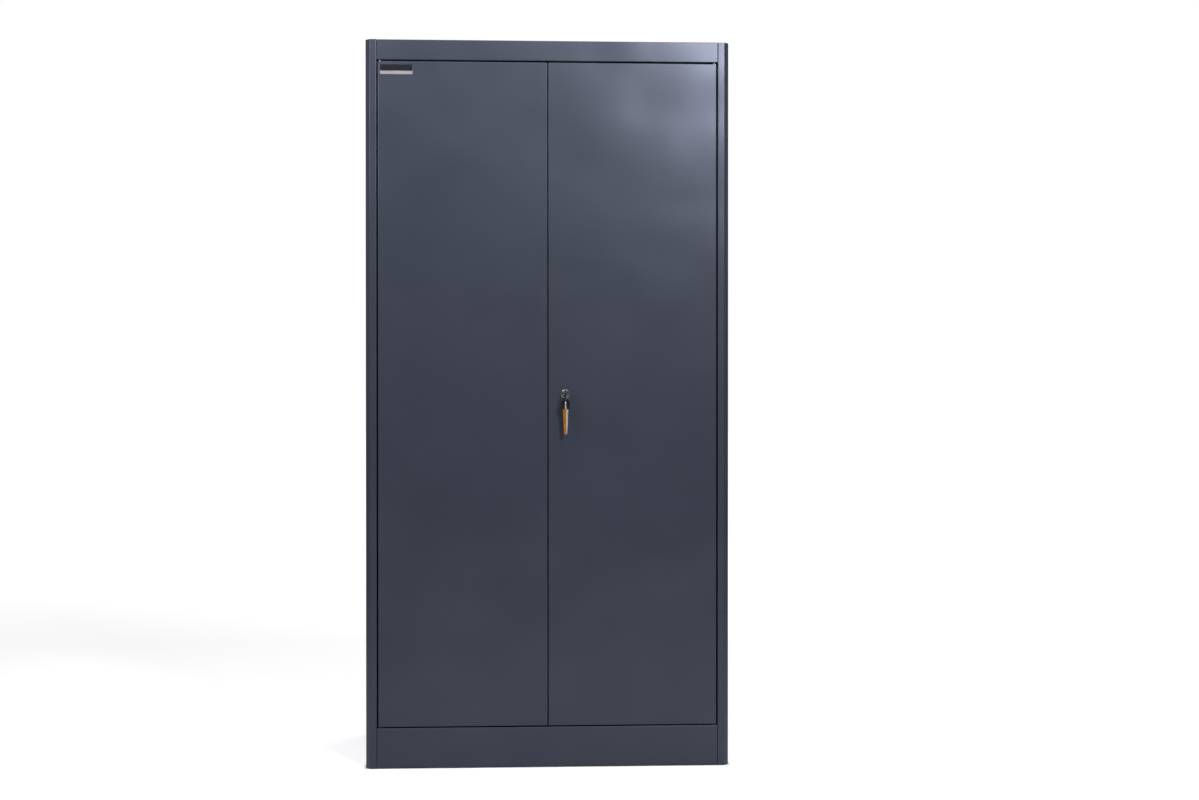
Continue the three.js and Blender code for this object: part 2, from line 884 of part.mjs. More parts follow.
function splitRing() {
  const section = new THREE.Shape().absarc(0, 0, ringWire / 2, 0, 2 * Math.PI, false);
  const geometry = new THREE.ExtrudeGeometry(section, {
    steps: 46,
    curveSegments: 3,
    bevelEnabled: false,
    extrudePath: new Coil(),
  });
  return geometryOf(solidOf(geometry)).translate(lockX, bowHoleY, ringCentre);
}

// Spare key: a tapered blade with sloped faces and a milled groove on each side. Its tang runs up
// the cover and ends in an eye for the ring.
const eyeRadius = eyeHoleRadius + eyeWall;
const eyeCentre = ringCentre - ringRadius - eyeDrop;
const coverTop = ringCentre - coverBelowCentre;
const coverFoot = coverTop - coverHeight;

function spareKey() {
  const tip = coverFoot - spareBladeLength;
  const blade = new THREE.Shape(
    [
      [-tangWidth / 2, eyeCentre - eyeHoleRadius],
      [-tangWidth / 2, coverFoot - seat],
      [-spareBladeTop / 2, coverFoot - seat],
      [-spareBladeTip / 2, tip + spareTipChamfer],
      [-spareBladeTip / 2 + spareTipChamfer, tip],
      [spareBladeTip / 2 - spareTipChamfer, tip],
      [spareBladeTip / 2, tip + spareTipChamfer],
      [spareBladeTop / 2, coverFoot - seat],
      [tangWidth / 2, coverFoot - seat],
      [tangWidth / 2, eyeCentre - eyeHoleRadius],
    ].map(([x, z]) => new THREE.Vector2(x, z)),
  );
  const half = bladeThickness / 2;
  const slope = Math.atan2((bladeThickness - bladeEdge) / 2, spareBladeTop / 2);
  const [low, high] = [tip - overrun, coverFoot - seat];
  const shavings = [-1, 1].flatMap((face) =>
    [-1, 1].map((edge) => {
      const [x0, x1] = [0, edge * spareBladeTop].sort((p, q) => p - q);
      const [y0, y1] = [0, face * bladeThickness].sort((p, q) => p - q);
      return block(x0, x1, y0, y1, low, high).rotateZ(-face * edge * slope).translate(0, face * half, 0);
    }),
  );
  const grooves = [-1, 1].map((face) => {
    const [y0, y1] = [face * (half - grooveDepth), face * (half + overrun)].sort((p, q) => p - q);
    return block(-grooveWidth / 2, grooveWidth / 2, y0, y1, tip + spareBladeTip, high);
  });
  const plate = cut(extrude(blade, -half, half, "y"), ...shavings, ...grooves);
  const disc = new THREE.Shape().absarc(0, eyeCentre, eyeRadius, 0, 2 * Math.PI, false);
  const hole = new THREE.Shape().absarc(0, eyeCentre, eyeHoleRadius, 0, 2 * Math.PI, false);
  const eye = extrude(disc, -eyeThickness / 2, eyeThickness / 2, "x");
  const drilledEye = extrude(hole, -eyeThickness / 2 - overrun, eyeThickness / 2 + overrun, "x");
  return cut(joined(plate, eye), drilledEye).translate(lockX, bowHoleY, 0);
}

// Moulded cover: the ring runs in a round slot between its cheeks, and the eye stands in a notch
function spareCover() {
  const outline = new THREE.Shape();
  const halfCover = coverWidth / 2;
  for (const [end, up, radius, quarter] of [
    [1, 1, coverShoulder, 0],
    [-1, 1, coverShoulder, 1],
    [-1, -1, coverCorner, 2],
    [1, -1, coverCorner, 3],
  ]) {
    const x = end * (halfCover - radius);
    const z = (up > 0 ? coverTop : coverFoot) - up * radius;
    outline.absarc(x, z, radius, (quarter * Math.PI) / 2, ((quarter + 1) * Math.PI) / 2, false);
  }
  const slotHalf = (ringTurns * ringPitch + ringWire) / 2 + coverRingGap;
  const half = slotHalf + coverCheek;
  const slab = extrude(outline, -half, half, "y");
  const slot = rod(ringRadius + ringWire / 2 + coverRingGap, -slotHalf, slotHalf, "y", 32);
  const channelHalf = tangWidth / 2 + seat;
  const channelTop = eyeCentre - eyeHoleRadius + seat;
  const back = bladeThickness / 2 + seat;
  const channel = block(-channelHalf, channelHalf, -half - overrun, back, coverFoot - overrun, channelTop);
  const notchHalf = eyeThickness / 2 + seat;
  const notchFoot = eyeCentre - eyeRadius - seat;
  const notch = block(-notchHalf, notchHalf, -half - overrun, half + overrun, notchFoot, coverTop + overrun);
  return cut(slab, slot.translate(0, 0, ringCentre), channel, notch).translate(lockX, bowHoleY, 0);
}

// Carcass
const sides = [["left", -1], ["right", 1]];
for (const [name, side] of sides) {
  add(`${name}_side_panel`, sidePanel(side), powderCoat);
  for (const [place, [x, y]] of [["front", glidePlaces[0]], ["rear", glidePlaces[1]]]) {
    add(`${name}_${place}_glide`, glide(side * x, y), blackPlastic);
  }
}
add("back_panel", backPanel(), powderCoat);
add("top_panel", topPanel(), powderCoat);
add("bottom_panel", bottomPanel(), powderCoat);

shelfShares.forEach((share, i) => {
  const wanted = floorTop + share * (headerUnder - floorTop);
  const slots = slotHeights();
  const slotZ = slots.reduce((best, z) =>
    Math.abs(z - slotForShelf(wanted)) < Math.abs(best - slotForShelf(wanted)) ? z : best,
  );
  const top = slotZ - ledgeBelowSlot + shelfHeight + seat;
  add(`shelf_${i + 1}`, shelf(top), powderCoat);
  for (const [name, side] of sides) {
    add(`shelf_${i + 1}_${name}_front_clip`, clip(side, slotPlaces[0], slotZ), zinc);
    add(`shelf_${i + 1}_${name}_rear_clip`, clip(side, slotPlaces[1], slotZ), zinc);
  }
});

// Doors, pivots and buffers
for (const [name, side] of sides) {
  add(`${name}_door`, doorPan(side), powderCoat);
  add(`${name}_door_stiffener`, stiffener(side), powderCoat);
  const pinAt = (z) => [side * pivotX, pivotDepth, z];
  const upperPin = headGap + sheet + seat + pivotEngagement;
  const lowerPin = sillGap + sheet + seat + pivotEngagement;
  const sillBushFlange = sillGap - 2 * seat;
  add(`${name}_door_upper_pin`, pivotPin(upperPin, 1).translate(...pinAt(doorTop - sheet - seat)), zinc);
  add(`${name}_door_lower_pin`, pivotPin(lowerPin, -1).translate(...pinAt(doorBottom + sheet + seat)), zinc);
  add(`${name}_upper_bush`, bush(headBushFlange, 1).translate(...pinAt(headerUnder - seat)), blackPlastic);
  add(`${name}_lower_bush`, bush(sillBushFlange, -1).translate(...pinAt(plinthHeight + seat)), blackPlastic);
  add(`${name}_upper_buffer`, buffer(side * bufferOffset, headerUnder - headerStop / 2), rubber);
  add(`${name}_lower_buffer`, buffer(side * bufferOffset, plinthHeight + plinthStep / 2 + seat), rubber);
}

// Lock, rods and keys
const atLock = [lockX, 0, lockHeight];
add("lock_housing", lockHousing().translate(...atLock), chrome);
add("lock_nut", lockNut().translate(...atLock), zinc);
add("lock_plug", lockPlug().translate(...atLock), chrome);
add("lock_cam", lockCam().translate(...atLock), zinc);
add("cam_screw", camScrew().translate(...atLock), zinc);
add("upper_rod", lockingRod(1, doorTop + rodRest), zinc);
add("lower_rod", lockingRod(-1, doorBottom - rodRest), zinc);
for (const [i, share] of guideShares.entries()) {
  add(`upper_rod_guide_${i + 1}`, rodGuide(THREE.MathUtils.lerp(lockHeight, doorTop, share)), zinc);
  add(`lower_rod_guide_${i + 1}`, rodGuide(THREE.MathUtils.lerp(lockHeight, doorBottom, share)), zinc);
}
add("key", key(), chrome);
add("split_ring", splitRing(), chrome);
add("spare_key", spareKey(), brass);
add("spare_key_cover", spareCover(), blackPlastic);

export default cupboard;
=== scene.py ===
# Steel stationery cupboard, dressed in its finishes and lit in a plain studio.
# Metres in the shared frame: +Z up, the doors face -Y, the origin is on the floor under the middle.

import json
import math

import bmesh
import bpy
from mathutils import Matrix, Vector


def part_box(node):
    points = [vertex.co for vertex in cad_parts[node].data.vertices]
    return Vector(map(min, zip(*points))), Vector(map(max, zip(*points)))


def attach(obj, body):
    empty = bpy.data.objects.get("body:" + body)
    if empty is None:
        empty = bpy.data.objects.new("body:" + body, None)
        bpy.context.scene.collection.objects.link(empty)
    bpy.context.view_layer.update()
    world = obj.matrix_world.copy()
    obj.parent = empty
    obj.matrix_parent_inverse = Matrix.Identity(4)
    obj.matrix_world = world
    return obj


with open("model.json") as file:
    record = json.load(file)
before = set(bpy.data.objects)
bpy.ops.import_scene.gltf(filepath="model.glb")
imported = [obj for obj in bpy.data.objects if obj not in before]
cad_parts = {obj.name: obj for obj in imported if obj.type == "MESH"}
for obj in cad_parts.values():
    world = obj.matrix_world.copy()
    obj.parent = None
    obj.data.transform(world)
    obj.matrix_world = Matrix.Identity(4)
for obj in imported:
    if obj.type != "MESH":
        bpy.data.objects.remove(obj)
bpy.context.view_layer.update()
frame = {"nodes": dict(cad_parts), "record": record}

MM = 0.001


def place(x, y, z):
    """A point given in millimetres of the shared frame."""
    return Vector((x, y, z)) * MM


def corners_mm(name):
    """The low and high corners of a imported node's box, in millimetres."""
    return [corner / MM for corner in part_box(name)]


# Camera: four metres in front of the doors, level with the lock, 58 mm left of the doors' meeting line
PHOTO_WIDTH = 1199
SENSOR_WIDTH = 36.0
FOCAL_PIXELS = 1600
CAMERA_PLACE = place(-58.4, -4176.6, 937.2)
CAMERA_YAW = 0.0469
CAMERA_PITCH = -0.0066


def make_camera():
    data = bpy.data.cameras.new("camera")
    data.sensor_width = SENSOR_WIDTH
    data.lens = FOCAL_PIXELS / PHOTO_WIDTH * SENSOR_WIDTH
    camera = bpy.data.objects.new("camera", data)
    bpy.context.scene.collection.objects.link(camera)
    level = math.cos(CAMERA_PITCH)
    ahead = Vector((math.sin(CAMERA_YAW) * level, math.cos(CAMERA_YAW) * level, math.sin(CAMERA_PITCH)))
    camera.rotation_mode = "QUATERNION"
    camera.location = CAMERA_PLACE
    camera.rotation_quaternion = ahead.to_track_quat("-Z", "Y")
    bpy.context.scene.camera = camera


# Colours, nodes and patterns

# Noise keeps mostly within this span, which is stretched to the range that a finish asks for
NOISE_LOW = 0.3
NOISE_HIGH = 0.7
# Places of the colour sockets on a mix
MIX_SHARE = 0
MIX_FIRST = 6
MIX_SECOND = 7
MIX_COLOUR = 2
# How much fine detail a pattern has over its main features
SMOOTH = 1.0
PLAIN = 2.0
RICH = 3.0


def linear(code):
    """An sRGB hex colour as linear RGBA."""
    channels = [int(code[i : i + 2], 16) / 255 for i in (1, 3, 5)]
    return tuple(c / 12.92 if c <= 0.04045 else ((c + 0.055) / 1.055) ** 2.4 for c in channels) + (1.0,)


def node(tree, kind, inputs=None, **settings):
    """Adds a node. Inputs are its sockets' values, or what feeds them; settings are its properties."""
    made = tree.nodes.new(kind)
    for name, value in settings.items():
        setattr(made, name, value)
    for name, value in (inputs or {}).items():
        if isinstance(value, bpy.types.Node):
            value = value.outputs[0]
        if isinstance(value, bpy.types.NodeSocket):
            tree.links.new(value, made.inputs[name])
        else:
            made.inputs[name].default_value = value
    return made


def new_material(name):
    material = bpy.data.materials.new(name)
    material.use_nodes = True
    tree = material.node_tree
    tree.nodes.clear()
    return material, tree


def per_metre(spacing_mm):
    """The scale of a pattern whose features are this many millimetres apart."""
    return 1 / (spacing_mm * MM)


def pattern(tree, spacing_mm, detail=PLAIN, stretch=(1, 1, 1), shift=(0, 0, 0)):
    """Noise with features of a real size, drawn out along an axis where stretch is under 1."""
    where = node(tree, "ShaderNodeTexCoord").outputs["Object"]
    drawn = node(tree, "ShaderNodeMapping", {"Vector": where, "Scale": stretch, "Location": shift})
    features = {"Vector": drawn, "Scale": per_metre(spacing_mm), "Detail": detail}
    return node(tree, "ShaderNodeTexNoise", features)


def spread(noise, low, high):
    """Inputs that stretch a pattern over a span of values."""
    return {"Value": noise, "From Min": NOISE_LOW, "From Max": NOISE_HIGH, "To Min": low, "To Max": high}


def mottled(tree, noise, first, second):
    """A colour that drifts between two shades as a pattern does."""
    share = node(tree, "ShaderNodeMapRange", spread(noise, 0.0, 1.0))
    shades = {MIX_SHARE: share, MIX_FIRST: linear(first), MIX_SECOND: linear(second)}
    return node(tree, "ShaderNodeMix", shades, data_type="RGBA").outputs[MIX_COLOUR]


# Powder coat: sizes in millimetres, and the shift in metres, which sets where the sheet's slow waves fall
COAT_LOW = "#30343e"
COAT_HIGH = "#343842"
COAT_IOR = 1.6
COAT_TINT = "#dfe9ff"
COAT_ROUGHNESS = 0.325
COAT_ROUGHNESS_SPREAD = 0.03
COAT_DRIFT = 140
COAT_GRAIN = 0.9
COAT_PEEL = 2.2
COAT_PEEL_HEIGHT = 0.012
SHEET_WAVE = 240
SHEET_WAVE_SHIFT = (-0.28, -1.52, 0.25)
SHEET_WAVE_HEIGHT = 7.0


def powder_coat():
    """Polyester powder baked on rolled sheet: satin, faintly orange-peeled, and never quite flat."""
    material, tree = new_material("powder_coat_blue_grey")
    colour = mottled(tree, pattern(tree, COAT_DRIFT, RICH), COAT_LOW, COAT_HIGH)
    grain = pattern(tree, COAT_GRAIN)
    low = COAT_ROUGHNESS - COAT_ROUGHNESS_SPREAD
    high = COAT_ROUGHNESS + COAT_ROUGHNESS_SPREAD
    roughness = node(tree, "ShaderNodeMapRange", spread(grain, low, high))
    waves = pattern(tree, SHEET_WAVE, SMOOTH, shift=SHEET_WAVE_SHIFT)
    swell = {"Height": waves, "Distance": SHEET_WAVE_HEIGHT * MM, "Strength": 1.0}
    sheet = node(tree, "ShaderNodeBump", swell)
    dimples = pattern(tree, COAT_PEEL, SMOOTH)
    skin = {"Height": dimples, "Distance": COAT_PEEL_HEIGHT * MM, "Strength": 1.0, "Normal": sheet}
    peel = node(tree, "ShaderNodeBump", skin)
    shader = node(
        tree,
        "ShaderNodeBsdfPrincipled",
        {
            "Base Color": colour,
            "Roughness": roughness,
            "IOR": COAT_IOR,
            "Specular Tint": linear(COAT_TINT),
            "Normal": peel,
        },
    )
    node(tree, "ShaderNodeOutputMaterial", {"Surface": shader})
    return material


# Plated metals: pattern sizes and depths in millimetres
# Rolled grain and polishing marks are finer on the real metal, and drawn this coarse so that they show
ZINC_CLOUD = 6
ZINC_ROLL = 0.5
ZINC_ROLL_STRETCH = (1, 1, 0.06)
ZINC_ROLL_DEPTH = 0.004
ROLL_STRENGTH = 0.5
CHROME_CLOUD = 4
CHROME_MARKS = 0.35
CHROME_MARKS_STRETCH = (1, 1, 0.2)


def plated_steel():
    """Zinc plated steel, bright dipped: cool grey, fine rolled grain and a little cloudiness."""
    material, tree = new_material("zinc_plated_steel")
    colour = mottled(tree, pattern(tree, ZINC_CLOUD, RICH), "#b3b6b8", "#cfd0cd")
    roll = pattern(tree, ZINC_ROLL, PLAIN, ZINC_ROLL_STRETCH)
    roughness = node(tree, "ShaderNodeMapRange", spread(roll, 0.29, 0.37))
    grain = {"Height": roll, "Distance": ZINC_ROLL_DEPTH * MM, "Strength": ROLL_STRENGTH}
    bump = node(tree, "ShaderNodeBump", grain)
    metal = {"Base Color": colour, "Metallic": 1.0, "Roughness": roughness, "Normal": bump}
    shader = node(tree, "ShaderNodeBsdfPrincipled", metal)
    node(tree, "ShaderNodeOutputMaterial", {"Surface": shader})
    return material


def nickel_chrome():
    """Chrome over nickel on a die casting or spring wire: mirror bright, with faint polishing marks."""
    material, tree = new_material("nickel_chrome_plate")
    colour = mottled(tree, pattern(tree, CHROME_CLOUD), "#cfd0d3", "#dededf")
    marks = pattern(tree, CHROME_MARKS, PLAIN, CHROME_MARKS_STRETCH)
    roughness = node(tree, "ShaderNodeMapRange", spread(marks, 0.16, 0.26))
    metal = {"Base Color": colour, "Metallic": 1.0, "Roughness": roughness}
    shader = node(tree, "ShaderNodeBsdfPrincipled", metal)
    node(tree, "ShaderNodeOutputMaterial", {"Surface": shader})
    return material


# Spare key's blade, in millimetres: the groove's place right of its middle, and how softly the pale nickel
# ends, which is partly plating and partly a painted highlight
# Its brushed grain is drawn coarser than the real one so that it shows
BLADE_LENGTH = 63
BLADE_GROOVE = 1.6
BLADE_BLEND = 0.3
TANG_BLEND = 1
BRASS_BRUSH = 0.4
BRASS_BRUSH_STRETCH = (1, 1, 0.05)
BRASS_BRUSH_DEPTH = 0.01
BRASS_BRUSH_STRENGTH = 0.5
BRASS_TARNISH = 9


def key_brass():
    """Nickel plated brass blank, its left flank milled to bare yellow brass as far as the groove; the pale
    nickel of the right flank and the tang is also a painted highlight.
    """
    material, tree = new_material("brass_part_nickel_with_painted_highlight")
    low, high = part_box("spare_key")
    groove = (low.x + high.x) / 2 + BLADE_GROOVE * MM
    tang = low.z + BLADE_LENGTH * MM
    where = node(tree, "ShaderNodeTexCoord").outputs["Object"]
    across, _, height = node(tree, "ShaderNodeSeparateXYZ", {"Vector": where}).outputs
    blend = {"Value": across, "From Min": groove - BLADE_BLEND * MM, "From Max": groove + BLADE_BLEND * MM}
    right = node(tree, "ShaderNodeMapRange", blend)
    blend = {"Value": height, "From Min": tang, "From Max": low.z + (BLADE_LENGTH + TANG_BLEND) * MM}
    tang_plating_and_highlight = node(tree, "ShaderNodeMapRange", blend)
    # Share of pale nickel, right of the groove and on the tang: partly plating and partly a painted
    # highlight
    plated = node(tree, "ShaderNodeMath", {0: right, 1: tang_plating_and_highlight}, operation="MAXIMUM")
    tarnish = pattern(tree, BRASS_TARNISH, RICH)
    brass = mottled(tree, tarnish, "#cf8420", "#e6a440")
    # Pale nickel shade, which also stands in for the highlight along the key's lit edge
    nickel = mottled(tree, tarnish, "#cfc4bd", "#e6dcd6")
    shades = {MIX_SHARE: plated, MIX_FIRST: brass, MIX_SECOND: nickel}
    colour = node(tree, "ShaderNodeMix", shades, data_type="RGBA").outputs[MIX_COLOUR]
    brush = pattern(tree, BRASS_BRUSH, RICH, BRASS_BRUSH_STRETCH)
    roughness = node(tree, "ShaderNodeMapRange", spread(brush, 0.36, 0.46))
    grain = {"Height": brush, "Distance": BRASS_BRUSH_DEPTH * MM, "Strength": BRASS_BRUSH_STRENGTH}
    bump = node(tree, "ShaderNodeBump", grain)
    metal = {"Base Color": colour, "Metallic": 1.0, "Roughness": roughness, "Normal": bump}
    shader = node(tree, "ShaderNodeBsdfPrincipled", metal)
    node(tree, "ShaderNodeOutputMaterial", {"Surface": shader})
    return material


# Key in the lock, in millimetres: its bow, and how far the black head runs on to the neck
BOW_RADIUS = 10.5
HEAD_ON_NECK = 0.5
HEAD_EDGE = 0.1
KEY_MARKS = 0.4
KEY_MARKS_STRETCH = (1, 0.05, 1)


def covered_key():
    """Nickel plated key whose bow is moulded over in gloss black plastic."""
    material, tree = new_material("nickel_plated_key_black_head")
    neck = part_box("key")[0].y + (2 * BOW_RADIUS + HEAD_ON_NECK) * MM
    where = node(tree, "ShaderNodeTexCoord").outputs["Object"]
    depth = node(tree, "ShaderNodeSeparateXYZ", {"Vector": where}).outputs["Y"]
    edge = {"Value": depth, "From Min": neck, "From Max": neck + HEAD_EDGE * MM}
    metal = node(tree, "ShaderNodeMapRange", edge)
    shades = {MIX_SHARE: metal, MIX_FIRST: linear("#0b0b0d"), MIX_SECOND: linear("#d0cfcc")}
    colour = node(tree, "ShaderNodeMix", shades, data_type="RGBA").outputs[MIX_COLOUR]
    marks = pattern(tree, KEY_MARKS, RICH, KEY_MARKS_STRETCH)
    roughness = node(tree, "ShaderNodeMapRange", spread(marks, 0.26, 0.32))
    covered = {"Base Color": colour, "Metallic": metal, "Roughness": roughness, "IOR": 1.5}
    shader = node(tree, "ShaderNodeBsdfPrincipled", covered)
    node(tree, "ShaderNodeOutputMaterial", {"Surface": shader})
    return material


# Plastic and rubber: the mould's texture is finer on the real pieces, and drawn this coarse so that it shows
MOULD_ROUGHNESS_SPREAD = 0.05


def moulded(name, low, high, roughness, texture_mm, height_mm):
    """Moulded plastic or rubber: an even colour and the fine texture of a spark-eroded mould."""
    material, tree = new_material(name)
    grain = pattern(tree, texture_mm)
    colour = mottled(tree, grain, low, high)
    least = roughness - MOULD_ROUGHNESS_SPREAD
    most = roughness + MOULD_ROUGHNESS_SPREAD
    rough = node(tree, "ShaderNodeMapRange", spread(grain, least, most))
    bump = node(tree, "ShaderNodeBump", {"Height": grain, "Distance": height_mm * MM, "Strength": 1.0})
    plastic = {"Base Color": colour, "Roughness": rough, "IOR": 1.5, "Normal": bump}
    shader = node(tree, "ShaderNodeBsdfPrincipled", plastic)
    node(tree, "ShaderNodeOutputMaterial", {"Surface": shader})
    return material


# Badge finishes: pattern sizes in millimetres, with the foil's brushing drawn coarser than the real one
LACQUER_CLOUD = 5
FOIL_BRUSH = 0.4
FOIL_BRUSH_STRETCH = (0.04, 1, 1)


def badge_enamel():
    """Dark lacquer on the badge: smooth, glossy, nearly black blue."""
    material, tree = new_material("badge_dark_lacquer")
    colour = mottled(tree, pattern(tree, LACQUER_CLOUD), "#0f121c", "#141724")
    shader = node(tree, "ShaderNodeBsdfPrincipled", {"Base Color": colour, "Roughness": 0.25, "IOR": 1.5})
    node(tree, "ShaderNodeOutputMaterial", {"Surface": shader})
    return material


def badge_foil():
    """Brushed aluminium foil, left bare along the badge's foot."""
    material, tree = new_material("badge_brushed_aluminium")
    brush = pattern(tree, FOIL_BRUSH, RICH, FOIL_BRUSH_STRETCH)
    colour = mottled(tree, brush, "#8d8a8d", "#a8a4a6")
    roughness = node(tree, "ShaderNodeMapRange", spread(brush, 0.35, 0.5))
    foil = {"Base Color": colour, "Metallic": 0.7, "Roughness": roughness}
    shader = node(tree, "ShaderNodeBsdfPrincipled", foil)
    node(tree, "ShaderNodeOutputMaterial", {"Surface": shader})
    return material


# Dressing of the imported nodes
BEND_SMOOTH = math.radians(38)
EDGE_ROUND = 0.12
FACET_WELD = 0.002
EDGE_SEGMENTS = 2
FLAT_WEIGHT = 50


def smooth_bends(piece):
    """Bends read as round and flats stay flat; cut edges get a small radius."""
    mesh = piece.data
    if mesh.attributes.get("custom_normal"):
        mesh.attributes.remove(mesh.attributes["custom_normal"])
    mesh.polygons.foreach_set("use_smooth", [True] * len(mesh.polygons))
    weld = piece.modifiers.new("joined_facets", "WELD")
    weld.merge_threshold = FACET_WELD * MM
    bevel = piece.modifiers.new("cut_edges", "BEVEL")
    bevel.width = EDGE_ROUND * MM
    bevel.segments = EDGE_SEGMENTS
    bevel.limit_method = "ANGLE"
    bevel.angle_limit = BEND_SMOOTH
    bevel.use_clamp_overlap = False
    normals = piece.modifiers.new("flat_faces", "WEIGHTED_NORMAL")
    normals.mode = "FACE_AREA"
    normals.weight = FLAT_WEIGHT


def dress_nodes(finishes):
    """Each node takes the finish of its own name, or else that of its slot."""
    for row in frame["record"]["subparts"]:
        piece = frame["nodes"][row["node"]]
        piece.data.materials.clear()
        piece.data.materials.append(finishes.get(row["node"], finishes[row["material_slot"]]))
        smooth_bends(piece)


# Pieces made here


def new_piece(name, mesh_maker, material, body, edge_mm=0.0):
    mesh = bpy.data.meshes.new(name)
    bm = bmesh.new()
    mesh_maker(bm)
    bmesh.ops.recalc_face_normals(bm, faces=bm.faces)
    bm.to_mesh(mesh)
    bm.free()
    mesh.materials.append(material)
    piece = bpy.data.objects.new(name, mesh)
    bpy.context.scene.collection.objects.link(piece)
    if edge_mm:
        bevel = piece.modifiers.new("edges", "BEVEL")
        bevel.width = edge_mm * MM
        bevel.segments = EDGE_SEGMENTS
        bevel.limit_method = "ANGLE"
    mesh.polygons.foreach_set("use_smooth", [True] * len(mesh.polygons))
    normals = piece.modifiers.new("flat_faces", "WEIGHTED_NORMAL")
    normals.weight = FLAT_WEIGHT
    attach(piece, body)
    return piece


# Badge, in millimetres: a bare foil plate with a dark lacquered field over most of it
BADGE_WIDTH = 80.0
BADGE_FROM_EDGE = 5.6
BADGE_FROM_TOP = 7.8
BADGE_HEIGHT = 24.6
BADGE_FIELD = 16.2
BADGE_RIM = 0.2
BADGE_THICKNESS = 0.5
BADGE_FIELD_THICKNESS = 0.25
BADGE_CORNER = 1.0
BADGE_CORNER_STEPS = 6
BADGE_EDGE = 0.15
BADGE_FIELD_EDGE = 0.08


def rounded_outline(width, height, radius):
    points = []
    x, z = width / 2 - radius, height / 2 - radius
    for cx, cz, quarter in ((x, z, 0), (-x, z, 1), (-x, -z, 2), (x, -z, 3)):
        for k in range(BADGE_CORNER_STEPS + 1):
            angle = (quarter + k / BADGE_CORNER_STEPS) * math.pi / 2
            points.append((cx + radius * math.cos(angle), cz + radius * math.sin(angle)))
    return points


def slab(bm, outline, centre, y_front, y_back):
    """A flat plate standing in the XZ plane, from an outline in millimetres about its centre."""
    rings = []
    for y in (y_front, y_back):
        rings.append([bm.verts.new(place(centre[0] + u, y, centre[1] + v)) for u, v in outline])
    bm.faces.new(rings[0])
    bm.faces.new(list(reversed(rings[1])))
    count = len(outline)
    for i in range(count):
        j = (i + 1) % count
        bm.faces.new((rings[0][i], rings[1][i], rings[1][j], rings[0][j]))


def make_badge():
    low, high = corners_mm("left_door")
    x = low.x + BADGE_FROM_EDGE + BADGE_WIDTH / 2
    top = high.z - BADGE_FROM_TOP
    face = low.y
    plate = rounded_outline(BADGE_WIDTH, BADGE_HEIGHT, BADGE_CORNER)
    centre = (x, top - BADGE_HEIGHT / 2)
    new_piece(
        "badge_plate",
        lambda bm: slab(bm, plate, centre, face - BADGE_THICKNESS, face),
        badge_foil(),
        "left_door",
        BADGE_EDGE,
    )
    height = BADGE_FIELD - BADGE_RIM
    field = rounded_outline(BADGE_WIDTH - 2 * BADGE_RIM, height, BADGE_CORNER - BADGE_RIM)
    field_centre = (x, top - BADGE_RIM - height / 2)
    back = face - BADGE_THICKNESS
    new_piece(
        "badge_field",
        lambda bm: slab(bm, field, field_centre, back - BADGE_FIELD_THICKNESS, back),
        badge_enamel(),
        "left_door",
        BADGE_FIELD_EDGE,
    )


# Cheeks of the key's moulded head, in millimetres, either side of the bow with the ring's hole left open
CHEEK_THICKNESS = 1.0
CHEEK_RADIUS = 10.4
CHEEK_HOLE = 4.1
CHEEK_EDGE = 0.25
RING_HOLE_FROM_TIP = 8.0
CHEEK_SIDES = 48


def ring_of_points(bm, x, centre, radius):
    """Points round a circle that stands in the YZ plane, in millimetres."""
    turns = [2 * math.pi * k / CHEEK_SIDES for k in range(CHEEK_SIDES)]
    y, z = centre
    return [bm.verts.new(place(x, y + radius * math.cos(a), z + radius * math.sin(a))) for a in turns]


def pierced_disc(bm, x_low, x_high, centre, radius, hole_centre, hole_radius):
    """A disc standing in the YZ plane with a round hole, in millimetres."""
    low_rim, low_hole, high_rim, high_hole = (
        ring_of_points(bm, x, middle, size)
        for x in (x_low, x_high)
        for middle, size in ((centre, radius), (hole_centre, hole_radius))
    )
    rims = (low_rim, low_hole, high_hole, high_rim)
    for first, second in zip(rims, rims[1:] + rims[:1]):
        for k in range(CHEEK_SIDES):
            j = (k + 1) % CHEEK_SIDES
            bm.faces.new((first[k], first[j], second[j], second[k]))


def make_key_head(plastic):
    low, high = corners_mm("key")
    middle = (low.z + high.z) / 2
    bow = (low.y + BOW_RADIUS, middle)
    hole = (low.y + RING_HOLE_FROM_TIP, middle)
    for side, x_low in (("left", low.x - CHEEK_THICKNESS), ("right", high.x)):
        new_piece(
            f"key_head_{side}_cheek",
            lambda bm: pierced_disc(bm, x_low, x_low + CHEEK_THICKNESS, bow, CHEEK_RADIUS, hole, CHEEK_HOLE),
            plastic,
            "key",
            CHEEK_EDGE,
        )


# Blind rivets, in millimetres: domed zinc heads, each with the small pit that the drawn mandrel leaves
RIVET_PROFILE = ((3.2, 0.0), (3.1, 0.3), (2.6, 0.75), (1.9, 1.05), (1.15, 1.2), (0.9, 0.6))
RIVET_SIDES = 20
SHEET_STEEL = 0.8
GUIDE_STEEL = 1.5
ROD_GUIDES = ("upper_rod_guide_1", "upper_rod_guide_2", "lower_rod_guide_1", "lower_rod_guide_2")
GUIDE_RIVET_OFFSET = 5.5
GUIDE_RIVET_HEIGHT = 7.0
EDGE_RIVETS = (-110.0, 15.0, 140.0)
EDGE_RIVET_DROP = 12.5
BACK_RIVETS = (210.0, 560.0, 910.0, 1260.0, 1610.0)
BACK_RIVET_INSET = 8.0


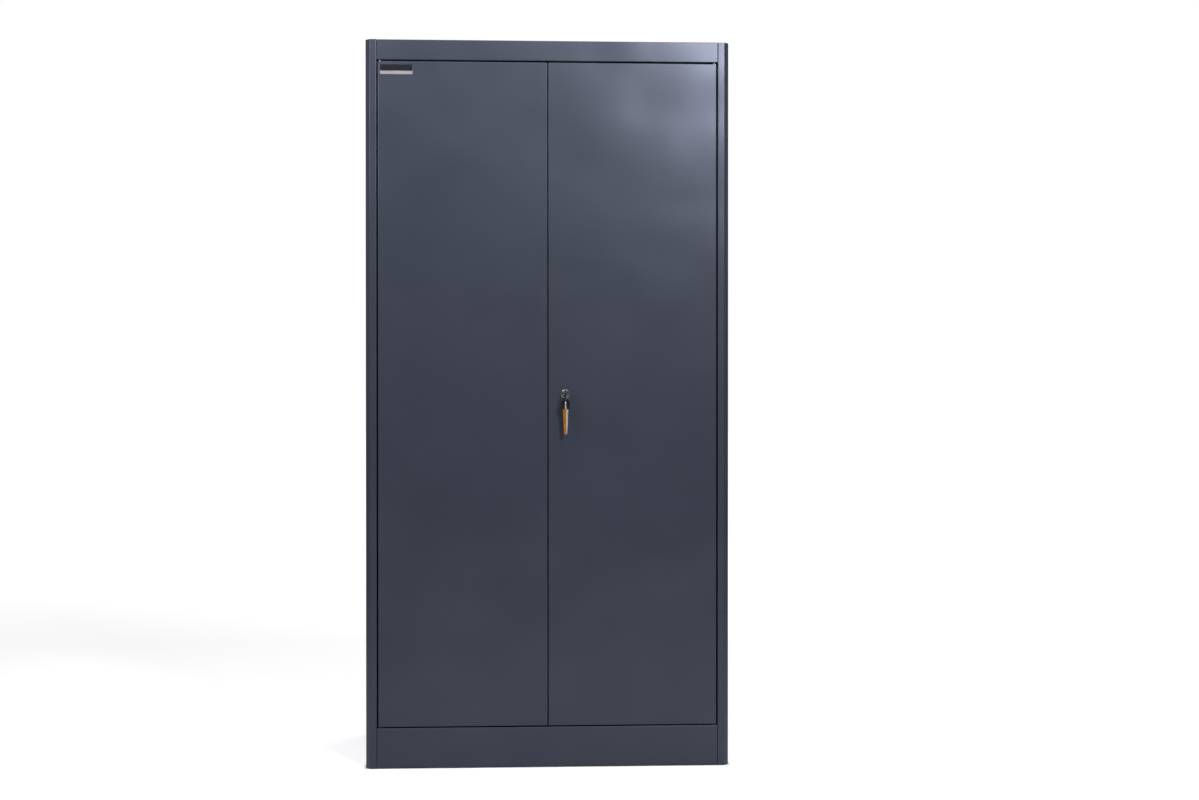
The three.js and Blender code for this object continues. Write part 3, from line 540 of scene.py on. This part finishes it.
def rivet(bm, foot, outward):
    """One head that stands on a face at a point in millimetres."""
    turn = Vector(outward).to_track_quat("Z", "Y")
    rings = []
    for radius, height in RIVET_PROFILE:
        ring = []
        for k in range(RIVET_SIDES):
            angle = 2 * math.pi * k / RIVET_SIDES
            local = Vector((radius * math.cos(angle), radius * math.sin(angle), height))
            ring.append(bm.verts.new((Vector(foot) + turn @ local) * MM))
        rings.append(ring)
    for low, high in zip(rings, rings[1:]):
        for k in range(RIVET_SIDES):
            j = (k + 1) % RIVET_SIDES
            bm.faces.new((low[k], low[j], high[j], high[k]))
    bm.faces.new(rings[0])
    bm.faces.new(rings[-1])


def rivets(bm, places):
    for foot, outward in places:
        rivet(bm, foot, outward)


def make_rivets(zinc):
    on_guides = []
    for guide in ROD_GUIDES:
        low, high = corners_mm(guide)
        for side in (-1, 1):
            x = (low.x + high.x) / 2 + side * GUIDE_RIVET_OFFSET
            on_guides.append(((x, low.y + GUIDE_STEEL, low.z + GUIDE_RIVET_HEIGHT), (0, 1, 0)))
    new_piece("rod_guide_rivets", lambda bm: rivets(bm, on_guides), zinc, "right_door")
    top, back = corners_mm("top_panel")[1], corners_mm("back_panel")[1]
    in_carcass = []
    for side in (-1, 1):
        inward = (-side, 0, 0)
        for y in EDGE_RIVETS:
            in_carcass.append(((side * (top.x - SHEET_STEEL), y, top.z - EDGE_RIVET_DROP), inward))
        for z in BACK_RIVETS:
            in_carcass.append(((side * (back.x - SHEET_STEEL), back.y - BACK_RIVET_INSET, z), inward))
    new_piece("carcass_rivets", lambda bm: rivets(bm, in_carcass), zinc, "carcass")


# Studio, in metres: a pale floor, a small lamp at the upper right, a broad one overhead, two more around
FLOOR_HALF = 30.0
FLOOR_COLOUR = "#d2d2d2"
# Strength of the floor's glow for the camera, as far as the near distance and from the far one on
FLOOR_LIFT_NEAR = 0.62
FLOOR_LIFT_FAR = 1.05
FLOOR_NEAR = 1.5
FLOOR_FAR = 4.5
# Width of the rim round the cupboard's foot over which the glow rises from none, which paints a thin shade
# at the foot
FOOT_SHADE = 0.008

LAMPS = (
    # name, place, aim, width, height, radiance, colour
    ("key_lamp", (1.09, -2.62, 2.5), (0.0, -0.2, 0.9), 0.4, 0.4, 126, "#fcfaff"),
    ("overhead_softbox", (-0.36, -0.9, 2.95), (0.0, -0.2, 0.9), 3.0, 3.0, 2.0, "#fafaff"),
    ("left_lamp", (-1.35, -1.2, 1.9), (0.0, -0.2, 0.9), 0.6, 0.6, 11, "#fafaff"),
    ("back_softbox", (2.2, 3.2, 2.8), (0.0, 0.2, 0.9), 2.0, 2.0, 6, "#ffffff"),
)
WATTS_PER_RADIANCE = math.pi
ROOM_DIFFUSE = 0.09
ROOM_GLOSSY = 0.03
# How far round to the rear the mirrored backdrop starts, and where it is wholly white
BACKDROP_START = 0.15
BACKDROP_FULL = 0.55


def floor_finish():
    """Pale matt floor, which also glows for the camera, but not under the cupboard, where the lamps' shade
    stays, and less in a rim round its foot, which is painted shade.
    """
    material, tree = new_material("studio_floor")
    path = node(tree, "ShaderNodeLightPath")
    where = node(tree, "ShaderNodeNewGeometry").outputs["Position"]
    x, y, _ = node(tree, "ShaderNodeSeparateXYZ", {"Vector": where}).outputs
    low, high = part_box("left_side_panel")[0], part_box("right_side_panel")[1]
    half_depth, middle = (high.y - low.y) / 2, (high.y + low.y) / 2
    off_side = node(tree, "ShaderNodeMath", {0: x}, operation="ABSOLUTE")
    beside = node(tree, "ShaderNodeMath", {0: off_side, 1: high.x}, operation="SUBTRACT")
    off_middle = node(tree, "ShaderNodeMath", {0: y, 1: middle}, operation="SUBTRACT")
    off_middle = node(tree, "ShaderNodeMath", {0: off_middle}, operation="ABSOLUTE")
    before = node(tree, "ShaderNodeMath", {0: off_middle, 1: half_depth}, operation="SUBTRACT")
    away = node(tree, "ShaderNodeMath", {0: beside, 1: before}, operation="MAXIMUM")
    # Glow fades out towards the cupboard's foot, which paints a thin shade round it
    clear = node(tree, "ShaderNodeMapRange", {"Value": away, "From Max": FOOT_SHADE})
    reach = {"Value": away, "From Min": FLOOR_NEAR, "From Max": FLOOR_FAR}
    lifts = {"To Min": FLOOR_LIFT_NEAR, "To Max": FLOOR_LIFT_FAR}
    far = node(tree, "ShaderNodeMapRange", {**reach, **lifts})
    lift = node(tree, "ShaderNodeMath", {0: clear, 1: far}, operation="MULTIPLY")
    lift = node(tree, "ShaderNodeMath", {0: lift, 1: path.outputs["Is Camera Ray"]}, operation="MULTIPLY")
    matt = node(tree, "ShaderNodeBsdfDiffuse", {"Color": linear(FLOOR_COLOUR)})
    glow = node(tree, "ShaderNodeEmission", {"Strength": lift})
    lit = node(tree, "ShaderNodeAddShader", {0: matt, 1: glow})
    node(tree, "ShaderNodeOutputMaterial", {"Surface": lit})
    return material


def make_floor():
    mesh = bpy.data.meshes.new("floor")
    bm = bmesh.new()
    corners = ((-1, -1), (1, -1), (1, 1), (-1, 1))
    bm.faces.new([bm.verts.new((u * FLOOR_HALF, v * FLOOR_HALF, 0)) for u, v in corners])
    bm.to_mesh(mesh)
    bm.free()
    mesh.materials.append(floor_finish())
    floor = bpy.data.objects.new("floor", mesh)
    bpy.context.scene.collection.objects.link(floor)


def make_world():
    """White backdrop behind the cupboard, and a dim room for what the paint and metal reflect."""
    world = bpy.data.worlds.new("studio")
    world.use_nodes = True
    bpy.context.scene.world = world
    tree = world.node_tree
    tree.nodes.clear()
    path = node(tree, "ShaderNodeLightPath").outputs
    rays = {0: path["Is Glossy Ray"], 1: path["Is Transmission Ray"]}
    mirrored = node(tree, "ShaderNodeMath", rays, operation="MAXIMUM")
    way = node(tree, "ShaderNodeTexCoord").outputs["Generated"]
    rearward = node(tree, "ShaderNodeSeparateXYZ", {"Vector": way}).outputs["Y"]
    reach = {"From Min": BACKDROP_START, "From Max": BACKDROP_FULL, "To Min": ROOM_GLOSSY, "To Max": 1.0}
    backdrop = node(tree, "ShaderNodeMapRange", {"Value": rearward, **reach})
    reflected = node(tree, "ShaderNodeMath", {0: mirrored, 1: backdrop}, operation="MULTIPLY")
    others = node(tree, "ShaderNodeMath", {0: 1.0, 1: mirrored}, operation="SUBTRACT")
    unmirrored = node(tree, "ShaderNodeMath", {0: others, 1: ROOM_DIFFUSE}, operation="MULTIPLY")
    room = node(tree, "ShaderNodeMath", {0: reflected, 1: unmirrored}, operation="ADD")
    strength = node(tree, "ShaderNodeMath", {0: path["Is Camera Ray"], 1: room}, operation="MAXIMUM")
    sky = node(tree, "ShaderNodeBackground", {"Color": linear("#ffffff"), "Strength": strength})
    node(tree, "ShaderNodeOutputWorld", {"Surface": sky})


def make_lamps():
    for name, where, aim, width, height, radiance, colour in LAMPS:
        data = bpy.data.lights.new(name, "AREA")
        data.shape = "RECTANGLE"
        data.size, data.size_y = width, height
        data.energy = radiance * width * height * WATTS_PER_RADIANCE
        data.color = linear(colour)[:3]
        lamp = bpy.data.objects.new(name, data)
        bpy.context.scene.collection.objects.link(lamp)
        lamp.location = where
        lamp.rotation_mode = "QUATERNION"
        lamp.rotation_quaternion = (Vector(aim) - Vector(where)).to_track_quat("-Z", "Y")
        lamp.visible_camera = False


def set_colour_management():
    bpy.context.scene.view_settings.view_transform = "Standard"


make_camera()
set_colour_management()
FINISHES = {
    "powder_coat": powder_coat(),
    "zinc_plate": plated_steel(),
    "nickel_chrome": nickel_chrome(),
    "brass": key_brass(),
    "black_plastic": moulded("black_plastic_gloss", "#0b0b0d", "#121215", 0.3, 1.0, 0.01),
    "black_rubber": moulded("black_rubber", "#161618", "#1f1f22", 0.75, 0.7, 0.03),
    "key": covered_key(),
}
dress_nodes(FINISHES)
make_badge()
make_key_head(FINISHES["black_plastic"])
make_rivets(FINISHES["zinc_plate"])
make_floor()
make_world()
make_lamps()
